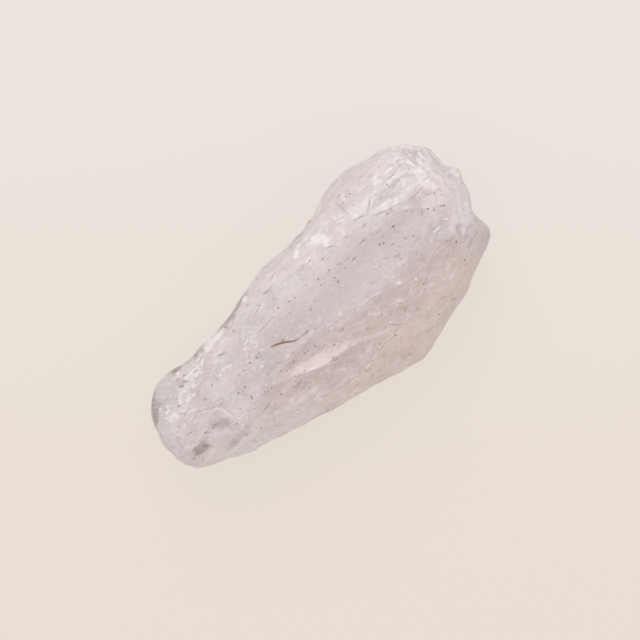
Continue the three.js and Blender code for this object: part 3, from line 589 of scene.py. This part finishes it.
class Nodes:
    """Builds a material from a principled shader, with a short call for each kind of node."""

    def __init__(self, name):
        self.material = bpy.data.materials.new(name)
        self.material.use_nodes = True
        self.tree = self.material.node_tree
        self.shader = self.tree.nodes["Principled BSDF"]
        self.output = self.tree.nodes["Material Output"]

    def add(self, kind, inputs=(), **settings):
        node = self.tree.nodes.new(kind)
        for name, value in settings.items():
            setattr(node, name, value)
        for name, value in dict(inputs).items():
            if isinstance(value, bpy.types.NodeSocket):
                self.tree.links.new(value, node.inputs[name])
            else:
                node.inputs[name].default_value = value
        return node

    def place(self):
        """The place on the object, in millimetres."""
        local = self.add("ShaderNodeTexCoord").outputs["Object"]
        return self.add("ShaderNodeVectorMath", {0: local, 1: (1 / MM,) * 3}, operation="MULTIPLY").outputs[0]

    def stretched(self, place, size, turn=0):
        """The place in steps of the given size, first turned about the vertical by an angle in degrees."""
        turned = self.add("ShaderNodeVectorRotate", {"Vector": place, "Angle": math.radians(turn)},
                          rotation_type="Z_AXIS").outputs[0]
        return self.add("ShaderNodeVectorMath", {0: turned, 1: size}, operation="DIVIDE").outputs[0]

    def noise(self, place, detail=3, roughness=0.55, distortion=0):
        inputs = {"Vector": place, "Scale": 1, "Detail": detail}
        inputs |= {"Roughness": roughness, "Distortion": distortion}
        return self.add("ShaderNodeTexNoise", inputs).outputs["Fac"]

    def ramp(self, value, low, high, to_low=0, to_high=1):
        """Eases from one number to another as the value goes from low to high."""
        inputs = {"Value": value, "From Min": low, "From Max": high, "To Min": to_low, "To Max": to_high}
        return self.add("ShaderNodeMapRange", inputs, interpolation_type="SMOOTHSTEP").outputs[0]

    def math(self, operation, *values):
        return self.add("ShaderNodeMath", enumerate(values), operation=operation).outputs[0]

    def product(self, first, *others):
        for other in others:
            first = self.math("MULTIPLY", first, other)
        return first

    def mix(self, factor, a, b):
        node = self.tree.nodes.new("ShaderNodeMix")
        node.data_type = "RGBA"
        for socket, value in ((node.inputs[0], factor), (node.inputs[6], a), (node.inputs[7], b)):
            if isinstance(value, bpy.types.NodeSocket):
                self.tree.links.new(value, socket)
            else:
                socket.default_value = value
        return node.outputs[2]

    def zone(self, name):
        return self.add("ShaderNodeAttribute", attribute_name=name).outputs["Fac"]

    def mark(self, name, ragged):
        """How far a place is from the middle of the nearest mark of a layer: 1 on its rim, made ragged."""
        field = self.add("ShaderNodeAttribute", attribute_name=name).outputs["Vector"]
        length = self.add("ShaderNodeVectorMath", {0: field}, operation="LENGTH").outputs["Value"]
        return self.math("ADD", length, ragged)

    def bump(self, height, distance, strength, below=None):
        inputs = {"Height": height, "Distance": distance * MM, "Strength": strength}
        if below is not None:
            inputs["Normal"] = below
        return self.add("ShaderNodeBump", inputs).outputs[0]


def seen(red, green, blue):
    """A colour as a screen shows it, 0 to 255, as amounts of light."""
    return (*[((c / 255 + 0.055) / 1.055) ** 2.4 for c in (red, green, blue)], 1)


# The colours of the stone and its marks.
MAIN = seen(212, 203, 205)
ROSE = seen(216, 199, 196)
NEAR_FLANK = seen(233, 216, 211)
GREY_ROSE = seen(202, 191, 193)
# Milky white, also used as painted light.
MILKY_AND_PAINTED_LIGHT = seen(239, 233, 236)
BLUSH = seen(243, 229, 230)
# Smoky grey, also used as painted shade.
SMOKY_AND_PAINTED_SHADE = seen(160, 143, 144)
WHITE = seen(253, 252, 254)
TAUPE = seen(128, 104, 98)
UMBER = seen(108, 78, 66)
OCHRE = seen(190, 150, 112)
RUST_BROWN = seen(124, 88, 58)

# Veils: how far they are turned, how large their folds are, how strong they look, and their colour.
VEILS = [
    (12, (1.7, 0.6, 0.6), 0.55, MILKY_AND_PAINTED_LIGHT),
    (-28, (1.2, 0.5, 0.5), 0.5, MILKY_AND_PAINTED_LIGHT),
    (-8, (1.5, 0.45, 0.45), 0.36, SMOKY_AND_PAINTED_SHADE),
    (35, (1.1, 0.4, 0.4), 0.36, SMOKY_AND_PAINTED_SHADE),
]

# The paper's own colour low and high in the picture, over how much of the floor it changes, and its glow.
PAPER_LOW = (0.076, 0.0555, 0.033, 1)
PAPER_HIGH = (0.0913, 0.085, 0.0836, 1)
PAPER_SPAN = 60
PAPER_GLOW = seen(236, 228, 220)
GLOW_STRENGTH = 0.82


def zone_colour(n, place):
    """The colours of the zones, under soft clouds, with the bowls' painted ridge light and shade, the pale
    places that are partly painted light, the broken places, the ledge's painted glow and the painted shade of
    the dark patches over them.
    """
    clouds = n.noise(n.stretched(place, (3.5, 2.2, 2.2)), 4, 0.6, 0.6)
    # The ledge's pink band is painted glow, as of light shining through its thin lip.
    above_lip = n.ramp(n.zone("ledge_lip"), -0.03, 0.05)
    below_start = n.ramp(n.zone("ledge_start"), -0.35, 0.3, 1, 0)
    painted_ledge_glow = n.product(above_lip, below_start, n.zone("ledge_ends"))
    colour = n.mix(n.zone("rosy"), MAIN, ROSE)
    colour = n.mix(n.zone("steep"), colour, NEAR_FLANK)
    colour = n.mix(n.ramp(clouds, 0.4, 0.68, 0, 0.25), colour, GREY_ROSE)
    # Painted light on the bowls' ridges and painted shade in their middles.
    colour = n.mix(n.ramp(n.zone("bowl_shade_ridge_light"), 0.02, 0.22, 0, 0.25), colour, MILKY_AND_PAINTED_LIGHT)
    colour = n.mix(n.ramp(n.zone("bowl_shade_ridge_light"), -0.25, -0.05, 0.16, 0), colour, SMOKY_AND_PAINTED_SHADE)
    # The pale layer, partly painted light, turns milky and then white.
    colour = n.mix(n.ramp(n.zone("pale"), 0, 1), colour, MILKY_AND_PAINTED_LIGHT)
    colour = n.mix(n.ramp(n.zone("pale"), 1, 1.8), colour, WHITE)
    colour = n.mix(n.product(n.zone("broken"), 0.3), colour, BLUSH)
    colour = n.mix(painted_ledge_glow, colour, BLUSH)
    # Painted shade on the dark patches.
    return n.mix(n.zone("dark"), colour, SMOKY_AND_PAINTED_SHADE)


def with_stains_and_fibres(n, place, colour):
    """Brown stains on the near flank, and fine fibres along the crystal everywhere."""
    stains = n.ramp(n.noise(n.stretched(place, (1.8, 0.5, 0.5), 10), 3, 0.6, 0.8), 0.5, 0.7, 0, 0.3)
    fibres = n.noise(n.stretched(place, (0.4, 0.16, 0.16), 6), 2, 0.6, 0.4)
    colour = n.mix(n.product(stains, n.zone("steep")), colour, TAUPE)
    colour = n.mix(n.ramp(fibres, 0.3, 0.6, 0.12, 0), colour, SMOKY_AND_PAINTED_SHADE)
    return n.mix(n.ramp(fibres, 0.5, 0.75, 0, 0.3), colour, WHITE)


def with_veils(n, place, colour):
    """Thin curved sheets of tiny bubbles, seen as pale and dull wisps along the crystal and across it."""
    for turn, size, amount, tint in VEILS:
        folds = n.noise(n.stretched(place, size, turn), 3, 0.6, 1.0)
        off_fold = n.math("ABSOLUTE", n.math("SUBTRACT", folds, 0.5))
        patch = n.ramp(n.noise(n.stretched(place, (2.4, 1.6, 1.6), turn + 40), 2), 0.46, 0.62)
        where = n.product(patch, n.zone("lively"))
        colour = n.mix(n.product(n.ramp(off_fold, 0, 0.04, amount, 0), where), colour, tint)
    return colour


def with_flakes(n, place, colour, splinters, scales):
    """Painted highlights and painted shade on small faces: splinters on the flutes, and scales on broken and
    on scattered places, and painted sparkles.
    """
    scattered = n.ramp(n.noise(n.stretched(place, (2.6, 1.6, 1.6), 50), 2), 0.46, 0.64, 0, 0.45)
    scattered = n.product(scattered, n.zone("lively"))
    scaly = n.math("MAXIMUM", scattered, n.product(n.zone("broken"), 0.6))
    # Painted highlights on the flakes' raised parts and painted shade on their low parts.
    for flakes, where in ((splinters, n.zone("fluted")), (scales, scaly)):
        colour = n.mix(n.product(n.ramp(flakes, 0.54, 0.64, 0, 0.7), where), colour, WHITE)
        colour = n.mix(n.product(n.ramp(flakes, 0.34, 0.45, 0.32, 0), where), colour, SMOKY_AND_PAINTED_SHADE)
    # Painted sparkles: white blobs in the sparkling zone.
    spots = n.noise(n.stretched(place, (0.65, 0.42, 0.42), 24), 1, 0.5, 0.3)
    return n.mix(n.product(n.ramp(spots, 0.53, 0.64), n.zone("sparkling")), colour, WHITE)


def with_marks(n, place, colour):
    """All the marks, with the painted highlights among them, and how far they stand out or lie deeper."""
    ragged = n.math("MULTIPLY_ADD", n.noise(n.stretched(place, (0.12,) * 3), 2), 1.6, -0.8)
    torn = n.math("MULTIPLY_ADD", n.noise(n.stretched(place, (0.3,) * 3), 3), 2.6, -1.3)
    gaps = n.ramp(n.noise(n.stretched(place, (0.5,) * 3), 2), 0.35, 0.6)
    faint = n.ramp(n.noise(n.stretched(place, (0.3,) * 3), 2), 0.35, 0.6, 0.3, 1)
    cells = n.add("ShaderNodeTexVoronoi", {"Vector": n.stretched(place, (1.7, 1.1, 1.1)), "Scale": 1})
    grainy = n.ramp(n.noise(n.stretched(place, (3, 2.4, 2.4), 15), 1), 0.5, 0.58)

    bright_dash = n.product(n.ramp(n.mark("bright_dashes", torn), 0, 1.8, 0.55, 0), gaps, n.zone("lively"))
    # Pale lines, partly painted highlights.
    pale_line_and_highlight = n.product(n.ramp(n.mark("pale_lines_and_highlights", ragged), 0.2, 1.6, 0.7, 0), gaps)
    dull_dash = n.product(n.ramp(n.mark("dull_dashes", ragged), 0.2, 1.6, 0.6, 0), gaps)
    # Glints: painted highlights.
    glint = n.ramp(n.mark("glints", torn), 0.5, 1.6, 1, 0)
    grain = n.product(n.ramp(cells.outputs["Distance"], 0.05, 0.09, 0.7, 0), grainy)
    streak = n.product(n.ramp(n.mark("streaks", ragged), 0.2, 1.9, 0.7, 0), faint)
    speck = n.product(n.ramp(n.mark("specks", ragged), 0.4, 1.4, 0.95, 0), faint)
    rust = n.ramp(n.mark("rust", ragged), 0.7, 1.3, 0.9, 0)
    crack = n.ramp(n.mark("crack", ragged), 0.7, 1.2, 1, 0)
    for mark, tint in (
        (bright_dash, WHITE),
        (pale_line_and_highlight, WHITE),
        (dull_dash, TAUPE),
        (glint, WHITE),
        (grain, UMBER),
        (streak, TAUPE),
        (speck, UMBER),
        (rust, OCHRE),
        (crack, RUST_BROWN),
    ):
        colour = n.mix(mark, colour, tint)
    ridges = n.math("MAXIMUM", n.math("MAXIMUM", pale_line_and_highlight, glint), bright_dash)
    grooves = n.math("MAXIMUM", streak, dull_dash)
    return colour, n.math("SUBTRACT", ridges, grooves)


def fine_relief(n, place, splinters, scales, marks):
    """Etch lines along the crystal, small chips and flakes, stronger where it is broken, and the marks."""
    broken = n.zone("broken")
    lines = n.noise(n.stretched(place, (2.4, 0.2, 0.2)), 2, 0.5, 0.3)
    cells = n.add("ShaderNodeTexVoronoi", {"Vector": n.stretched(place, (0.8, 0.42, 0.42)), "Scale": 1})
    chips = n.product(n.math("POWER", cells.outputs["Distance"], 2), n.ramp(broken, 0, 1, 0.4, 1))
    normal = n.bump(lines, 0.04, 0.6)
    normal = n.bump(chips, 0.1, 0.7, normal)
    normal = n.bump(scales, 0.06, 0.6, normal)
    normal = n.bump(n.product(splinters, broken), 0.2, 0.7, normal)
    return n.bump(marks, 0.05, 0.8, normal)


def morganite():
    """Cloudy crystal that is half see-through, pale and rosy, with its flakes, veils and marks, and painted
    highlights and shade among them.
    """
    n = Nodes("morganite")
    place = n.place()
    splinters = n.noise(n.stretched(place, (0.45, 1.7, 1.0), 6), 1, 0.4, 0.5)
    scales = n.noise(n.stretched(place, (0.95, 0.4, 0.4), 10), 2, 0.55, 1.2)
    colour = zone_colour(n, place)
    colour = with_stains_and_fibres(n, place, colour)
    colour = with_veils(n, place, colour)
    colour = with_flakes(n, place, colour, splinters, scales)
    colour, marks = with_marks(n, place, colour)

    shader = n.shader
    n.tree.links.new(colour, shader.inputs["Base Color"])
    n.tree.links.new(fine_relief(n, place, splinters, scales, marks), shader.inputs["Normal"])
    n.tree.links.new(n.ramp(scales, 0.35, 0.65, 0.3, 0.4), shader.inputs["Roughness"])
    shader.inputs["Transmission Weight"].default_value = 0.5
    shader.inputs["IOR"].default_value = 1.58
    shader.inputs["Subsurface Weight"].default_value = 1
    shader.inputs["Subsurface Radius"].default_value = (1, 1, 1)
    shader.inputs["Subsurface Scale"].default_value = 0.35 * MM
    absorption = n.add("ShaderNodeVolumeAbsorption", {"Color": (1, 0.85, 0.82, 1), "Density": 8})
    n.tree.links.new(absorption.outputs[0], n.output.inputs["Volume"])
    return n.material


def paper():
    """Matt paper that glows, as on a light table, warmer towards the bottom of the picture."""
    n = Nodes("paper")
    in_picture = n.stretched(n.place(), (PAPER_SPAN,) * 3, TURN)
    upward = n.add("ShaderNodeSeparateXYZ", {0: in_picture}).outputs["Y"]
    fibre = n.ramp(n.noise(n.stretched(n.place(), (0.6,) * 3), 4), 0, 1, -0.02, 0.02)
    tone = n.math("ADD", n.ramp(upward, -0.5, 0.5), fibre)
    colour = n.mix(tone, PAPER_LOW, PAPER_HIGH)
    n.tree.links.new(colour, n.shader.inputs["Base Color"])
    n.shader.inputs["Roughness"].default_value = 0.9
    n.shader.inputs["Emission Color"].default_value = PAPER_GLOW
    n.shader.inputs["Emission Strength"].default_value = GLOW_STRENGTH
    return n.material


def softbox(name, place, size, watts):
    """A flat light that faces the stone."""
    light = bpy.data.lights.new(name, "AREA")
    light.shape = "RECTANGLE"
    light.size, light.size_y = (side * MM for side in size)
    light.energy = watts
    lamp = bpy.data.objects.new(name, light)
    lamp.location = Vector(place) * MM
    lamp.rotation_euler = Vector(place).to_track_quat("Z", "Y").to_euler()
    bpy.context.scene.collection.objects.link(lamp)


# The stone's material, the floor, the lights and the camera.
mesh.materials.append(morganite())

floor_mesh = bpy.data.meshes.new("floor")
half = FLOOR_HALF * MM
corners = [(-half, -half), (half, -half), (half, half), (-half, half)]
floor_mesh.from_pydata([(*corner, -BASE_CLEARANCE * MM) for corner in corners], [], [(0, 1, 2, 3)])
floor_mesh.materials.append(paper())
floor = bpy.data.objects.new("floor", floor_mesh)
bpy.context.scene.collection.objects.link(floor)

world = bpy.data.worlds.new("studio")
world.use_nodes = True
background = world.node_tree.nodes["Background"]
background.inputs["Color"].default_value = SKY_COLOUR
background.inputs["Strength"].default_value = SKY_STRENGTH
bpy.context.scene.world = world
softbox("key", **KEY_LIGHT)
softbox("spark", **SPARK_LIGHT)

camera = bpy.data.objects.new("camera", bpy.data.cameras.new("camera"))
camera.data.lens = LENS
camera.data.sensor_width = SENSOR
camera.data.clip_start = NEAREST * MM
height = RIM_HEIGHT + PICTURE * PIXEL * LENS / SENSOR
camera.location = (AIM[0] * MM, AIM[1] * MM, height * MM)
camera.rotation_euler = (0, 0, math.radians(-TURN))
bpy.context.scene.collection.objects.link(camera)
bpy.context.scene.camera = camera
bpy.context.scene.view_settings.view_transform = "Standard"
